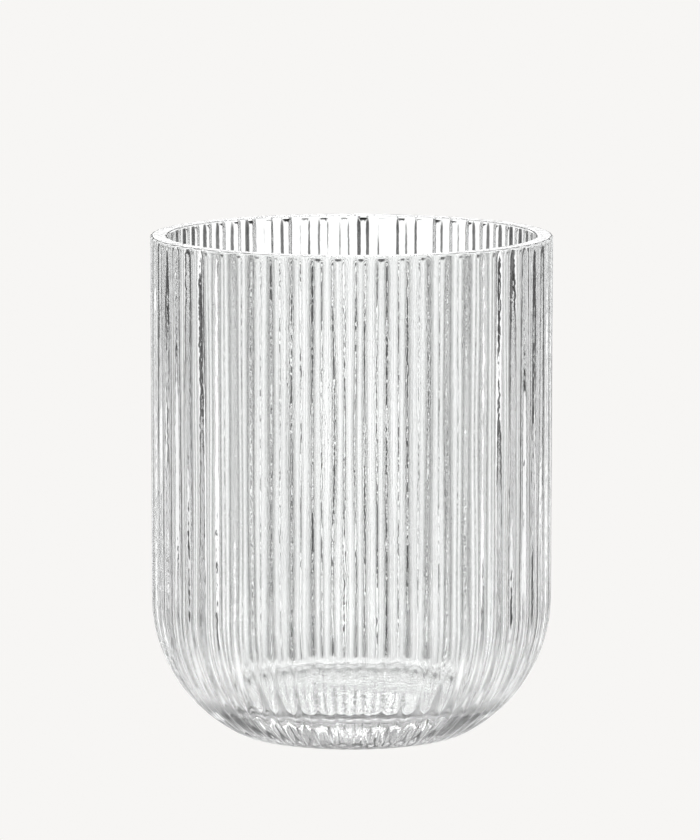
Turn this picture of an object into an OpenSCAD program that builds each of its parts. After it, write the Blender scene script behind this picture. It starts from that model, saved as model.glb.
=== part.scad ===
// Ribbed chai glass, pressed in one piece from clear soda-lime glass.
// Millimetres, +Z up, origin on the table at the centre of the foot.
// The wall is a straight cylinder covered with convex reeds. They run from the foot round
// the heel and up to the rim, where the grooves between them fade out. The inside is smooth.

/* [Overall] */
// Diameter over the crests of the reeds
outer_d = 75; // [68:0.5:90]
// Height from the table to the top of the rim
height = 93; // [80:1:130]

/* [Heel and foot] */
// Radius of the curve that brings the wall in to the foot
heel_r = 28.5; // [25:0.5:32]
// Diameter of the foot's outer edge
foot_d = 45; // [38:0.5:52]
// Width of the flat ring that the glass stands on
foot_ring_w = 5; // [3:0.5:8]
// Rise of the shallow hollow under the base
hollow_h = 0.6; // [0.4:0.1:2]

/* [Inside] */
// Thickness of the wall at the rim, measured from a crest
rim_wall_t = 3.3; // [2.6:0.1:5]
// How much the inside narrows from the mouth down to the inner heel
taper = 2; // [0:0.2:4]
// Radius of the inner heel
inner_heel_r = 24; // [21:0.5:26]
// Height of the inner heel's centre, where its curve starts
inner_heel_h = 24; // [22:0.5:27]
// Thickness of the base at the edge of its floor
base_t = 7.5; // [6:0.25:9]
// Radius of the corner between the inner heel and the floor
floor_corner_r = 5; // [3:0.5:8]
// Rise of the domed floor from its edge to its middle
floor_rise = 2; // [0.5:0.25:3]
// Radius of the rounding on each side of the rim
lip_r = 0.5; // [0.3:0.1:1.2]

/* [Reeds] */
// Number of reeds round the wall
reed_count = 60; // [36:1:72]
// Depth from a crest to the bottom of the groove beside it
reed_depth = 0.6; // [0.3:0.05:1.2]
// Length over which a groove fades out below the rim
rim_fade_l = 2.4; // [1.4:0.1:6]
// Length along the heel over which a groove fades out above the foot
foot_fade_l = 2.4; // [1:0.1:6]

/* [Hidden] */

// One overrun serves every cut that has to break through a face
overrun = 1;

// Outside: the wall's radius, and the heel's arc, which starts level with its centre
outer_r = outer_d / 2;
foot_r = foot_d / 2;
heel_centre_r = outer_r - heel_r;
heel_centre_z = sqrt(heel_r * heel_r - pow(foot_r - heel_centre_r, 2));
heel_sweep = asin(heel_centre_z / heel_r);
heel_l = heel_r * heel_sweep * PI / 180;
foot_fade_sweep = heel_sweep * foot_fade_l / heel_l;

// Reeds: a convex crest and a concave groove, two arcs that meet with one slope
pitch = PI * outer_d / reed_count;
half_pitch = pitch / 2;
crest_share = 0.57;
crest_half_w = crest_share * half_pitch;
groove_half_w = half_pitch - crest_half_w;
flank_slope = 2 * atan(reed_depth / half_pitch);
crest_arc_r = crest_half_w / sin(flank_slope);
groove_arc_r = groove_half_w / sin(flank_slope);

// Inside: the wall leans out by taper_slope, and the inner heel's arc is tangent to it
mouth_r = outer_r - rim_wall_t;
taper_slope = atan(taper / 2 / (height - inner_heel_h));
inner_heel_centre_r =
    mouth_r - taper / 2 - inner_heel_r / cos(taper_slope);

// The floor's corner lies against the inner heel, and the floor's dome against the corner
corner_centre_z = base_t + floor_corner_r;
corner_drop = inner_heel_h - corner_centre_z;
corner_centre_r =
    inner_heel_centre_r + sqrt(pow(inner_heel_r - floor_corner_r, 2) - pow(corner_drop, 2));
corner_start_z =
    inner_heel_h - inner_heel_r * corner_drop / (inner_heel_r - floor_corner_r);
dome_r =
    (pow(corner_centre_r, 2) + pow(floor_rise, 2)) / (2 * floor_rise) - floor_corner_r;
dome_centre_z = base_t + floor_rise - dome_r;
dome_edge_r = dome_r * corner_centre_r / (dome_r + floor_corner_r);

// Steps of the outside surface, and the points of a reed as shares of its two arcs
heel_steps = 6;
fade_steps = 3;
lip_steps = 2;
crest_point_share = 0.6;
groove_point_share = 0.45;

// Fineness of the turned surfaces
$fn = 96;

// How far the surface lies below the crest, at a distance t along the wall from the crest
function reed_drop(t) =
    t <= crest_half_w
        ? crest_arc_r - sqrt(crest_arc_r * crest_arc_r - t * t)
        : reed_depth - groove_arc_r
            + sqrt(groove_arc_r * groove_arc_r - pow(half_pitch - t, 2));

// Points of one reed, each as a distance along the wall from its crest
crest_t = crest_point_share * crest_half_w;
flank_t = crest_half_w + groove_point_share * groove_half_w;
reed_ts = [0, crest_t, flank_t, half_pitch, pitch - flank_t, pitch - crest_t];
columns = [
    for (n = [0 : reed_count - 1], t = reed_ts)
        [360 * (n + t / pitch) / reed_count, reed_drop(min(t, pitch - t))]
];

// A groove ends at the rim in a quarter of an ellipse: the part of its depth that it
// still has at a distance below the rim
function rim_fade(below) = sqrt(1 - pow(1 - below / rim_fade_l, 2));

// A station is a ring of the outside: radius, height, the direction that faces out,
// as an angle below the horizontal, and how much of the reeds' depth it has
function heel_station(a, depth_share) =
    [heel_centre_r + heel_r * cos(a), heel_centre_z - heel_r * sin(a), a, depth_share];
function rim_station(r, below) = [r, height - below, 0, rim_fade(below)];
heel_angles = [
    for (n = [heel_steps : -1 : 0])
        (heel_sweep - foot_fade_sweep) * n / heel_steps
];
stations = concat(
    [heel_station(heel_sweep, 0)],
    [for (a = heel_angles) heel_station(a, 1)],
    [
        for (n = [fade_steps : -1 : 0])
            rim_station(outer_r, lip_r + (rim_fade_l - lip_r) * n / fade_steps)
    ],
    [
        for (n = [1 : lip_steps])
            let (a = 90 * n / lip_steps)
            rim_station(outer_r - lip_r + lip_r * cos(a), lip_r - lip_r * sin(a))
    ]
);

// The reeds narrow with the radius, and so does their depth
function ring(station) = [
    for (c = columns)
        let (
            drop = c[1] * station[3] * station[0] / outer_r,
            r = station[0] - drop * cos(station[2]),
            z = station[1] + drop * sin(station[2])
        )
        [r * cos(c[0]), r * sin(c[0]), z]
];

// The solid outside form, reeded, from the foot to the rim
module reeded_form() {
    n = len(columns);
    last = len(stations) - 1;
    polyhedron(
        points = [for (s = stations) each ring(s)],
        faces = concat(
            [[for (i = [0 : n - 1]) i]],
            [
                for (k = [0 : last - 1], i = [0 : n - 1])
                    let (j = (i + 1) % n, low = k * n, high = low + n)
                    each [[low + i, high + i, high + j], [low + i, high + j, low + j]]
            ],
            [[for (i = [n - 1 : -1 : 0]) last * n + i]]
        )
    );
}

// Outline of half the inside: a tapered wall, a rounded heel, a corner and a domed floor
module cavity_outline() {
    tangent_r = inner_heel_centre_r + inner_heel_r * cos(taper_slope);
    tangent_z = inner_heel_h - inner_heel_r * sin(taper_slope);
    above = height + overrun;
    over_r = mouth_r + overrun * tan(taper_slope);
    polygon([
        [0, tangent_z],
        [tangent_r, tangent_z],
        [over_r, above],
        [0, above],
    ]);
    difference() {
        union() {
            intersection() {
                translate([inner_heel_centre_r, inner_heel_h]) circle(r = inner_heel_r);
                translate([0, corner_start_z]) square([mouth_r, inner_heel_r]);
            }
            translate([0, base_t]) square([dome_edge_r, inner_heel_h - base_t]);
        }
        translate([0, dome_centre_z]) circle(r = dome_r);
    }
    translate([corner_centre_r, corner_centre_z]) circle(r = floor_corner_r);
}

// Outline of the rounding inside the lip
module lip_outline() {
    difference() {
        translate([mouth_r - overrun, height - lip_r])
            square([overrun + lip_r, lip_r + overrun]);
        translate([mouth_r + lip_r, height - lip_r]) circle(r = lip_r);
    }
}

// Shallow hollow under the base, part of a large sphere
module hollow() {
    edge_r = foot_r - foot_ring_w;
    hollow_r = (edge_r * edge_r + hollow_h * hollow_h) / (2 * hollow_h);
    translate([0, 0, hollow_h - hollow_r]) sphere(r = hollow_r);
}

module tumbler() {
    color([0.88, 0.93, 0.93, 0.45])
        difference() {
            reeded_form();
            rotate_extrude() cavity_outline();
            rotate_extrude() lip_outline();
            hollow();
        }
}

tumbler();
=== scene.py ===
"""Chai glass: a ribbed tumbler pressed from clear glass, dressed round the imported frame.

Metres, +Z up, origin on the table at the centre of the foot, as in the frame.
"""
import math
import bpy
import numpy as np
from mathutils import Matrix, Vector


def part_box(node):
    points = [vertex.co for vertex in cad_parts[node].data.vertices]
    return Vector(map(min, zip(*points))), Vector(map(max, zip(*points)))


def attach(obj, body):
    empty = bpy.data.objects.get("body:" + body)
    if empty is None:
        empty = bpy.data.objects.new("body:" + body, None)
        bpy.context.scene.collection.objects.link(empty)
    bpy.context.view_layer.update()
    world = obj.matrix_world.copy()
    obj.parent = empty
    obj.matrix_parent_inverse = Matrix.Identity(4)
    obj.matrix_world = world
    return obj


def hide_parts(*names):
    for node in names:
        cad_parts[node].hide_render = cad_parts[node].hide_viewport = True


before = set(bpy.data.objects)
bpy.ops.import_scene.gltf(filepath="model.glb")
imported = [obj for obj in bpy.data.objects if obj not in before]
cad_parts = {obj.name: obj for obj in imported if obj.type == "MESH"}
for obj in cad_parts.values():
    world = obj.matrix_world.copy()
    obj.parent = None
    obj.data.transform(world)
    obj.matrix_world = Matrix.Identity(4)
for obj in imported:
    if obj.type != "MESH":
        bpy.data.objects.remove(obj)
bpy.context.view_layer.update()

MM = 0.001

# Overall sizes, taken from the frame
low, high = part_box("tumbler")
HEIGHT = high.z - low.z
OUTER_R = (high.x - low.x) / 2

# Heel and foot
HEEL_R = 28.5 * MM
FOOT_R = 22.5 * MM
FOOT_RING_W = 5 * MM
HOLLOW_H = 0.6 * MM
# The flat of the foot ring lies between these shares of its width
RING_FLAT_SHARES = (0.1, 0.8)

# Inside: the heel's arc runs into a tighter corner, and the corner into a domed floor
RIM_WALL_T = 3.3 * MM
WALL_TAPER = 1 * MM
INNER_HEEL_R = 24 * MM
INNER_HEEL_H = 24 * MM
BASE_T = 7.5 * MM
FLOOR_CORNER_R = 5 * MM
FLOOR_RISE = 2 * MM
LIP_R = 0.5 * MM
# Extra rings lie this share of the lip's radius in from it, so that the top shades flat
HOLD_SHARE = 0.12

# Reeds
REEDS = 60
REED_DEPTH = 0.6 * MM
CREST_SHARE = 0.57
RIM_FADE_L = 2.4 * MM
FOOT_FADE_L = 2.4 * MM

# Unevenness that pressing leaves: how far crests stray sideways, as a share of the pitch, how
# much of the depth varies, how far the inside strays from its smooth form, and the number of
# waves that make up each uneven field
STRAY_SHARE = 0.03
DEPTH_VARIES = 0.12
INSIDE_WAVE = 0.02 * MM
WAVES = 24

# What a way in and out of the glass leaves of red, green and blue
GLASS_TINT = (0.99, 0.996, 0.993, 1)
GLASS_IOR = 1.52
# Relief of the surface: noise scale, scale along the height as a share of it, depth, and where
RELIEFS = (
    (260, 0.35, 0.03 * MM, "all"),
    (900, 0.5, 0.03 * MM, "wall"),
    (700, 1, 0.2 * MM, "underside"),
)
NOISE_DETAIL = 2
# Heights where the relief of the wall and of the underside is full, and where it ends
WALL_RELIEF = (28 * MM, 14 * MM)
UNDERSIDE_RELIEF = (0.8 * MM, 1.6 * MM)
# Specks are small dents, far apart: one to a cell, with this share of its size as radius
SPECK_SCALE = 130
SPECK_SHARE = 0.07
SPECK_DEPTH = 0.03 * MM

# Fineness of the mesh: columns round a reed outside, and one inside column for each four
COLUMNS_PER_REED = 16
INSIDE_SHARE = 4
HEEL_RINGS = 28
WALL_RINGS = 32
FADE_RINGS = 8
LIP_RINGS = 5
HOLLOW_RINGS = 6
INSIDE_WALL_RINGS = 22
INSIDE_HEEL_RINGS = 16
CORNER_RINGS = 12
DOME_RINGS = 8

# Camera: angles in degrees, and places in pixels of the photograph's 700 by 840 frame
VIEW_PITCH = 8.953
VIEW_YAW = 0.53
VIEW_DISTANCE = 25 * OUTER_R
GLASS_HALF_WIDTH_PX = 200.18
FRAME_LONG_PX = 840
SENSOR = 36
AIM_BELOW_CENTRE_PX = 61.2
AIM_RIGHT_PX = 1.5
CLIP_START = 0.01
CLIP_END = 100

# Floor: a wide disc just under the foot. Its tone and the backdrop's, as the camera sees them
FLOOR_R = 4
FLOOR_DROP = 0.02 * MM
FLOOR_SIDES = 96
PALE = (0.93, 0.92, 0.905, 1)

# How often a ray may pass or meet the glass before it is lost
MOST_PASSES = 17

# Studio round the glass. It repeats, mirrored, after this many degrees of azimuth
FOLD = 45
# Tones of three bands, one above the other, at angles in degrees from the middle of a panel
PANELS = [(0, 1.17), (14.5, 1.17), (18, 0.2), (26, 0.06), (36.5, 0.03), (39, 1), (45, 1)]
UPPER_PANELS = [
    (0, 2), (4, 2), (5.5, 0.05), (18, 0.05), (19, 2.5), (25, 2.5), (27, 0.2), (45, 0.18)
]
TOP_PANELS = [(0, 13), (2.5, 13), (4, 0.02), (40, 0.02), (41.5, 1.2), (45, 1.2)]
# Narrow lit strips above the middle of each panel and each fold between two panels, which the
# flat top of the rim reflects
STRIP = (2, 2, 2, 1)
STRIP_SIDE_SHARE = [(2.5, 1), (3.5, 0), (41, 0), (42.5, 1)]
STRIP_RISE_SHARE = [(5, 0), (6, 1), (20, 1), (22, 0)]
# Tones below the bands, and the share of each band over what lies under it, at heights in degrees
BELOW = [(-90, 0.9), (-65, 0.7), (-50, 0.45), (-36, 1.1), (-20, 0.94)]
PANEL_SHARE = [(-24, 0), (-18, 1)]
UPPER_SHARE = [(-5, 0), (-2, 1)]
TOP_SHARE = [(18, 0), (22, 1)]
# Dark at the horizon, which the lowest edge of the foot shows, and overhead
HORIZON_SHARE = [(-4, 0), (-3, 1), (4.5, 1), (5.5, 0)]
ZENITH_SHARE = [(42, 0), (48, 1)]
DARK = (0.02, 0.02, 0.02, 1)
# Places of a mix node's colour sockets, which share their names with its other kinds
MIX_A, MIX_B, MIX_RESULT = 6, 7, 2


def reed_drop(t, pitch):
    """How far the surface lies below the crest at a distance t round the wall from it."""
    half = pitch / 2
    crest_w = CREST_SHARE * half
    groove_w = half - crest_w
    slope = 2 * math.atan(REED_DEPTH / half)
    crest_r = crest_w / math.sin(slope)
    groove_r = groove_w / math.sin(slope)
    on_crest = crest_r - np.sqrt(np.maximum(crest_r**2 - t**2, 0))
    in_groove = REED_DEPTH - groove_r + np.sqrt(np.maximum(groove_r**2 - (half - t) ** 2, 0))
    return np.where(t <= crest_w, on_crest, in_groove)


def rim_fade(below):
    """Part of the reeds' depth left at a distance below the rim: a quarter of an ellipse."""
    return math.sqrt(max(0, 1 - (1 - below / RIM_FADE_L) ** 2)) if below < RIM_FADE_L else 1


def smooth_step(x):
    """Rises smoothly from 0 to 1 as x does, and stays level beyond."""
    x = min(max(x, 0), 1)
    return x * x * (3 - 2 * x)


def outside_rings():
    """Rings from the foot's outer edge to the top of the rim.

    Each is radius, height, angle below the horizontal that the surface faces, and the
    part of the reeds' depth that it has.
    """
    centre_r = OUTER_R - HEEL_R
    centre_z = math.sqrt(HEEL_R**2 - (FOOT_R - centre_r) ** 2)
    sweep = math.asin(centre_z / HEEL_R)
    fade_sweep = FOOT_FADE_L / HEEL_R
    rings = []
    for k in range(HEEL_RINGS + 1):
        a = sweep * (1 - k / HEEL_RINGS)
        depth = smooth_step((sweep - a) / fade_sweep)
        r = centre_r + HEEL_R * math.cos(a)
        z = centre_z - HEEL_R * math.sin(a)
        rings.append((r, z, a, depth))
    fade_z = HEIGHT - RIM_FADE_L
    for k in range(1, WALL_RINGS + 1):
        rings.append((OUTER_R, centre_z + (fade_z - centre_z) * k / WALL_RINGS, 0, 1))
    for k in range(1, FADE_RINGS + 1):
        below = RIM_FADE_L + (LIP_R - RIM_FADE_L) * k / FADE_RINGS
        rings.append((OUTER_R, HEIGHT - below, 0, rim_fade(below)))
    for k in range(1, LIP_RINGS + 1):
        a = math.pi / 2 * k / LIP_RINGS
        below = LIP_R - LIP_R * math.sin(a)
        r = OUTER_R - LIP_R + LIP_R * math.cos(a)
        rings.append((r, HEIGHT - below, 0, rim_fade(below)))
    rings.append((OUTER_R - LIP_R * (1 + HOLD_SHARE), HEIGHT, 0, 0))
    return rings


def inside_rings():
    """Radius and height from the lip down the inside to the dome of its floor."""
    mouth_r = OUTER_R - RIM_WALL_T
    slope = math.atan(WALL_TAPER / (HEIGHT - INNER_HEEL_H))
    centre_r = mouth_r - WALL_TAPER - INNER_HEEL_R / math.cos(slope)
    tangent_r = centre_r + INNER_HEEL_R * math.cos(slope)
    tangent_z = INNER_HEEL_H - INNER_HEEL_R * math.sin(slope)
    corner_z = BASE_T + FLOOR_CORNER_R
    drop = INNER_HEEL_H - corner_z
    corner_r = centre_r + math.sqrt((INNER_HEEL_R - FLOOR_CORNER_R) ** 2 - drop**2)
    meet = math.atan2(drop, corner_r - centre_r)
    dome_r = (corner_r**2 + FLOOR_RISE**2) / (2 * FLOOR_RISE) - FLOOR_CORNER_R
    dome_z = BASE_T + FLOOR_RISE - dome_r
    tilt = math.asin(corner_r / (dome_r + FLOOR_CORNER_R))
    lip_z = HEIGHT - LIP_R
    rings = [(mouth_r + LIP_R * (1 + HOLD_SHARE), HEIGHT)]
    for k in range(LIP_RINGS + 1):
        a = math.pi / 2 * k / LIP_RINGS
        r = mouth_r + LIP_R - LIP_R * math.sin(a)
        rings.append((r, lip_z + LIP_R * math.cos(a)))
    for k in range(1, INSIDE_WALL_RINGS + 1):
        f = k / INSIDE_WALL_RINGS
        r = mouth_r + (tangent_r - mouth_r) * f
        rings.append((r, lip_z + (tangent_z - HEIGHT + LIP_R) * f))
    for k in range(1, INSIDE_HEEL_RINGS + 1):
        a = slope + (meet - slope) * k / INSIDE_HEEL_RINGS
        r = centre_r + INNER_HEEL_R * math.cos(a)
        rings.append((r, INNER_HEEL_H - INNER_HEEL_R * math.sin(a)))
    for k in range(1, CORNER_RINGS + 1):
        a = meet + (math.pi / 2 + tilt - meet) * k / CORNER_RINGS
        r = corner_r + FLOOR_CORNER_R * math.cos(a)
        rings.append((r, corner_z - FLOOR_CORNER_R * math.sin(a)))
    for k in range(1, DOME_RINGS):
        a = tilt * (1 - k / DOME_RINGS)
        rings.append((dome_r * math.sin(a), dome_z + dome_r * math.cos(a)))
    return rings


def underside_rings():
    """Radius and height from the middle of the hollow out over the flat foot ring."""
    edge_r = FOOT_R - FOOT_RING_W
    hollow_r = (edge_r**2 + HOLLOW_H**2) / (2 * HOLLOW_H)
    rings = []
    for k in range(1, HOLLOW_RINGS + 1):
        r = edge_r * k / HOLLOW_RINGS
        rings.append((r, HOLLOW_H - hollow_r + math.sqrt(hollow_r**2 - r**2)))
    for share in RING_FLAT_SHARES:
        rings.append((edge_r + FOOT_RING_W * share, 0))
    return rings


class Shell:
    """Collects rings of points and the faces between them, from the underside to the inside."""

    def __init__(self):
        self.points = []
        self.faces = []
        self.count = 0
        self.last = None

    def add_ring(self, ring_points):
        """Adds a ring, and the faces between it and the ring before."""
        start = self.count
        n = len(ring_points)
        self.points.append(ring_points)
        self.count += n
        if self.last is not None:
            self.join(self.last[0], self.last[1], start, n)
        self.last = (start, n)

    def join(self, a, na, b, nb):
        """Faces between two rings with equal counts, or one count a multiple of the other.

        a and b are the first points of the lower and the upper ring, na and nb their counts.
        """
        n = min(na, nb)
        ka, kb = na // n, nb // n
        for i in range(n):
            j = (i + 1) % n
            lower = [a + (i * ka + s) % na for s in range(ka + 1)]
            upper = [b + (i * kb + s) % nb for s in range(kb + 1)]
            if ka == kb:
                self.faces.append((lower[0], lower[1], upper[1], upper[0]))
            elif ka > kb:
                for s in range(ka):
                    near = upper[0] if s < ka / 2 else upper[1]
                    self.faces.append((lower[s], lower[s + 1], near))
                    if s == ka // 2 - 1:
                        self.faces.append((lower[s + 1], upper[1], upper[0]))
            else:
                for s in range(kb):
                    near = lower[0] if s < kb / 2 else lower[1]
                    self.faces.append((upper[s + 1], upper[s], near))
                    if s == kb // 2 - 1:
                        self.faces.append((lower[0], lower[1], upper[s + 1]))

    def cap(self, point):
        """Closes the last ring with a fan of faces round one point."""
        start, n = self.last
        top = self.count
        self.points.append([point])
        self.count += 1
        for i in range(n):
            j = (i + 1) % n
            self.faces.append((start + i, start + j, top))


def waves(seed, turns, length):
    """A smooth uneven field round the wall and up it, from -1 to 1 or so.

    turns is the most waves that go round, and length the shortest wave up the wall.
    """
    draw = np.random.default_rng(seed)
    round_ = draw.integers(-turns, turns + 1, WAVES)
    up = draw.uniform(-1, 1, WAVES) * 2 * math.pi / length
    phase = draw.uniform(0, 2 * math.pi, WAVES)
    weight = math.sqrt(1 / WAVES)

    def field(a, z):
        return weight * np.cos(np.outer(a, round_) + z * up + phase).sum(axis=1)

    return field


stray = waves(seed=3, turns=50, length=50 * MM)
depth_share = waves(seed=5, turns=30, length=40 * MM)
inside_wave = waves(seed=7, turns=40, length=30 * MM)


def circle(r, z, columns, uneven=0):
    """One smooth ring; uneven is its share of the waves of the inside."""
    a = np.arange(columns) * 2 * math.pi / columns
    r = r + uneven * INSIDE_WAVE * inside_wave(a, z)
    return np.stack([r * np.cos(a), r * np.sin(a), np.full(columns, z)], 1)


def reeded(r, z, facing, depth, columns):
    """One ring of the outside: the reeds narrow with the radius, and so does their depth."""
    pitch = 2 * math.pi * OUTER_R / REEDS
    a = np.arange(columns) * 2 * math.pi / columns
    reed = a * REEDS / (2 * math.pi) + STRAY_SHARE * stray(a, z)
    t = np.abs((reed + 0.5) % 1 - 0.5) * pitch
    drop = reed_drop(t, pitch) * depth * (1 + DEPTH_VARIES * depth_share(a, z)) * r / OUTER_R
    ring_r = r - drop * math.cos(facing)
    return np.stack([ring_r * np.cos(a), ring_r * np.sin(a), z + drop * math.sin(facing)], 1)


def build_glass():
    """The whole glass as one closed mesh, from the hollow under it round to its floor."""
    outside = REEDS * COLUMNS_PER_REED
    inside = outside // INSIDE_SHARE
    shell = Shell()
    shell.points.append([(0, 0, HOLLOW_H)])
    shell.count = 1
    for r, z in underside_rings():
        shell.add_ring(circle(r, z, inside))
    # A fan of faces round the first point closes the middle of the hollow
    for i in range(inside):
        shell.faces.append((0, 1 + (i + 1) % inside, 1 + i))
    for ring in outside_rings():
        shell.add_ring(reeded(*ring, outside))
    for r, z in inside_rings():
        below_lip = (HEIGHT - z) / RIM_FADE_L
        shell.add_ring(circle(r, z, inside, smooth_step(below_lip) * min(r / OUTER_R, 1)))
    shell.cap((0, 0, BASE_T + FLOOR_RISE))
    points = np.concatenate([np.asarray(p, float) for p in shell.points])
    mesh = bpy.data.meshes.new("glass_body")
    mesh.from_pydata(points.tolist(), [], shell.faces)
    mesh.validate()
    mesh.update()
    mesh.polygons.foreach_set("use_smooth", [True] * len(mesh.polygons))
    piece = bpy.data.objects.new("glass_body", mesh)
    bpy.context.scene.collection.objects.link(piece)
    return piece


def clear_glass():
    """Clear soda-lime glass with the faint waviness and small specks that pressing leaves.

    Its wall has a finer upright relief, and its underside is stippled.
    """
    material = bpy.data.materials.new("clear_glass")
    material.use_nodes = True
    nodes = material.node_tree.nodes
    links = material.node_tree.links
    shader = nodes["Principled BSDF"]
    shader.inputs["Base Color"].default_value = GLASS_TINT
    shader.inputs["Roughness"].default_value = 0.0
    shader.inputs["IOR"].default_value = GLASS_IOR
    shader.inputs["Transmission Weight"].default_value = 1
    place = nodes.new("ShaderNodeTexCoord")
    height = nodes.new("ShaderNodeSeparateXYZ")
    links.new(place.outputs["Object"], height.inputs[0])

    def fade(source, start, end):
        """A share that falls from 1 at start to 0 at end."""
        share = nodes.new("ShaderNodeMapRange")
        share.inputs["From Min"].default_value = start
        share.inputs["From Max"].default_value = end
        share.inputs["To Min"].default_value = 1
        share.inputs["To Max"].default_value = 0
        links.new(source, share.inputs["Value"])
        return share.outputs["Result"]

    def relief(source, depth, share, before):
        """A bump of this depth over the one before, in places only if share is given."""
        bump = nodes.new("ShaderNodeBump")
        bump.inputs["Distance"].default_value = depth
        if share:
            part = nodes.new("ShaderNodeMath")
            part.operation = "MULTIPLY"
            links.new(source, part.inputs[0])
            links.new(share, part.inputs[1])
            source = part.outputs[0]
        links.new(source, bump.inputs["Height"])
        if before:
            links.new(before, bump.inputs["Normal"])
        return bump.outputs["Normal"]

    shares = {
        "all": None,
        "wall": fade(height.outputs["Z"], *WALL_RELIEF),
        "underside": fade(height.outputs["Z"], *UNDERSIDE_RELIEF),
    }
    normal = None
    for scale, upright, depth, where in RELIEFS:
        stretch = nodes.new("ShaderNodeMapping")
        stretch.inputs["Scale"].default_value = (1, 1, upright)
        uneven = nodes.new("ShaderNodeTexNoise")
        uneven.inputs["Scale"].default_value = scale
        uneven.inputs["Detail"].default_value = NOISE_DETAIL
        links.new(place.outputs["Object"], stretch.inputs["Vector"])
        links.new(stretch.outputs["Vector"], uneven.inputs["Vector"])
        normal = relief(uneven.outputs["Fac"], depth, shares[where], normal)
    specks = nodes.new("ShaderNodeTexVoronoi")
    specks.inputs["Scale"].default_value = SPECK_SCALE
    links.new(place.outputs["Object"], specks.inputs["Vector"])
    normal = relief(fade(specks.outputs["Distance"], 0, SPECK_SHARE), SPECK_DEPTH, None, normal)
    links.new(normal, shader.inputs["Normal"])
    return material


def studio():
    """World: pale to the camera; to the glass, white panels with dark gaps between them.

    The pattern repeats every quarter turn, so that the glass looks alike from each side.
    Below the panels lie pale tones. The horizon and overhead are dark.
    """
    world = bpy.data.worlds.new("studio")
    world.use_nodes = True
    bpy.context.scene.world = world
    tree = world.node_tree
    tree.nodes.clear()

    def node(kind, **settings):
        made = tree.nodes.new(kind)
        for key, value in settings.items():
            setattr(made, key, value)
        return made

    def math_node(operation, source, value=None):
        made = node("ShaderNodeMath", operation=operation)
        tree.links.new(source, made.inputs[0])
        if value is not None:
            made.inputs[1].default_value = value
        return made.outputs[0]

    def ramp(source, stops, start, end):
        """Tones at stops in degrees, where source runs from 0 at start to 1 at end."""
        made = node("ShaderNodeValToRGB")
        tree.links.new(source, made.inputs[0])
        elements = made.color_ramp.elements
        while len(elements) > 1:
            elements.remove(elements[-1])
        places = [((angle - start) / (end - start), (tone, tone, tone, 1)) for angle, tone in stops]
        elements[0].position, elements[0].color = places[0]
        for place, tone in places[1:]:
            elements.new(place).color = tone
        return made.outputs[0]

    def mix(factor, a, b):
        """Colour a where factor is 0, and b, which may be a fixed tone, where it is 1."""
        made = node("ShaderNodeMix", data_type="RGBA")
        tree.links.new(factor, made.inputs[0])
        tree.links.new(a, made.inputs[MIX_A])
        if isinstance(b, tuple):
            made.inputs[MIX_B].default_value = b
        else:
            tree.links.new(b, made.inputs[MIX_B])
        return made.outputs[MIX_RESULT]

    # fold runs from 0 in the middle of a panel to 1 after FOLD degrees, to either side, and
    # level from 0 straight down to 1 overhead
    direction = node("ShaderNodeTexCoord")
    parts = node("ShaderNodeSeparateXYZ")
    tree.links.new(direction.outputs["Generated"], parts.inputs[0])
    azimuth = node("ShaderNodeMath", operation="ARCTAN2")
    tree.links.new(parts.outputs["X"], azimuth.inputs[0])
    tree.links.new(parts.outputs["Y"], azimuth.inputs[1])
    turn = math_node("MULTIPLY", azimuth.outputs[0], 180 / FOLD / math.pi)
    fold = math_node("PINGPONG", turn, 1)
    rise = math_node("ARCSINE", parts.outputs["Z"])
    level = math_node("ADD", math_node("MULTIPLY", rise, 1 / math.pi), 0.5)

    def by_side(stops):
        return ramp(fold, stops, 0, FOLD)

    def by_height(stops):
        return ramp(level, stops, -90, 90)

    tone = mix(by_height(PANEL_SHARE), by_height(BELOW), by_side(PANELS))
    tone = mix(by_height(UPPER_SHARE), tone, by_side(UPPER_PANELS))
    tone = mix(by_height(TOP_SHARE), tone, by_side(TOP_PANELS))
    tone = mix(by_height(HORIZON_SHARE), tone, DARK)
    tone = mix(by_height(ZENITH_SHARE), tone, DARK)
    share = node("ShaderNodeMath", operation="MULTIPLY")
    tree.links.new(by_side(STRIP_SIDE_SHARE), share.inputs[0])
    tree.links.new(by_height(STRIP_RISE_SHARE), share.inputs[1])
    tone = mix(share.outputs[0], tone, STRIP)
    path = node("ShaderNodeLightPath")
    seen = mix(path.outputs["Is Camera Ray"], tone, PALE)
    background = node("ShaderNodeBackground")
    tree.links.new(seen, background.inputs[0])
    out = node("ShaderNodeOutputWorld")
    tree.links.new(background.outputs[0], out.inputs[0])


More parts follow.
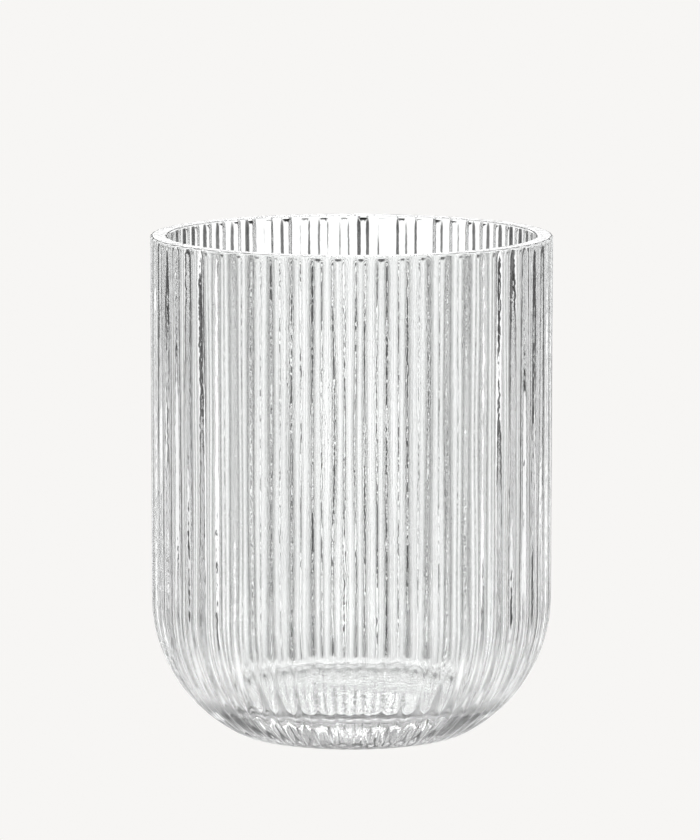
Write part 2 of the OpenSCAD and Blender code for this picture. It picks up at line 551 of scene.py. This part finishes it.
def floor():
    """Plain pale floor: the camera sees it, and the glass sees the studio instead."""
    bpy.ops.mesh.primitive_circle_add(
        vertices=FLOOR_SIDES, radius=FLOOR_R, fill_type="NGON", location=(0, 0, -FLOOR_DROP)
    )
    ground = bpy.context.object
    ground.name = "floor"
    material = bpy.data.materials.new("pale_floor")
    material.use_nodes = True
    tree = material.node_tree
    tree.nodes.clear()
    glow = tree.nodes.new("ShaderNodeEmission")
    glow.inputs[0].default_value = PALE
    out = tree.nodes.new("ShaderNodeOutputMaterial")
    tree.links.new(glow.outputs[0], out.inputs[0])
    ground.data.materials.append(material)
    ground.visible_transmission = False
    ground.visible_glossy = False
    ground.visible_diffuse = False


def camera():
    """The photograph's view: its distance, pitch and framing come from the silhouette."""
    data = bpy.data.cameras.new("camera")
    eye = bpy.data.objects.new("camera", data)
    bpy.context.scene.collection.objects.link(eye)
    pitch = math.radians(VIEW_PITCH)
    yaw = math.radians(VIEW_YAW)
    eye.location = (
        VIEW_DISTANCE * math.cos(pitch) * math.sin(yaw),
        -VIEW_DISTANCE * math.cos(pitch) * math.cos(yaw),
        HEIGHT / 2 + VIEW_DISTANCE * math.sin(pitch),
    )
    focal_px = GLASS_HALF_WIDTH_PX * VIEW_DISTANCE / OUTER_R
    data.sensor_width = SENSOR
    data.lens = focal_px / FRAME_LONG_PX * SENSOR
    down = pitch - math.atan(AIM_BELOW_CENTRE_PX / focal_px)
    eye.rotation_euler = (math.pi / 2 - down, 0, yaw + math.atan(AIM_RIGHT_PX / focal_px))
    data.clip_start = CLIP_START
    data.clip_end = CLIP_END
    bpy.context.scene.camera = eye


glass = build_glass()
glass.data.materials.append(clear_glass())
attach(glass, "root")
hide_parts("tumbler")

floor()
studio()
camera()
bpy.context.scene.view_settings.view_transform = "Standard"

# Light passes the reeded wall many times near the sides and the heel
light_paths = bpy.context.scene.cycles
light_paths.max_bounces = MOST_PASSES
light_paths.transmission_bounces = MOST_PASSES
light_paths.glossy_bounces = MOST_PASSES
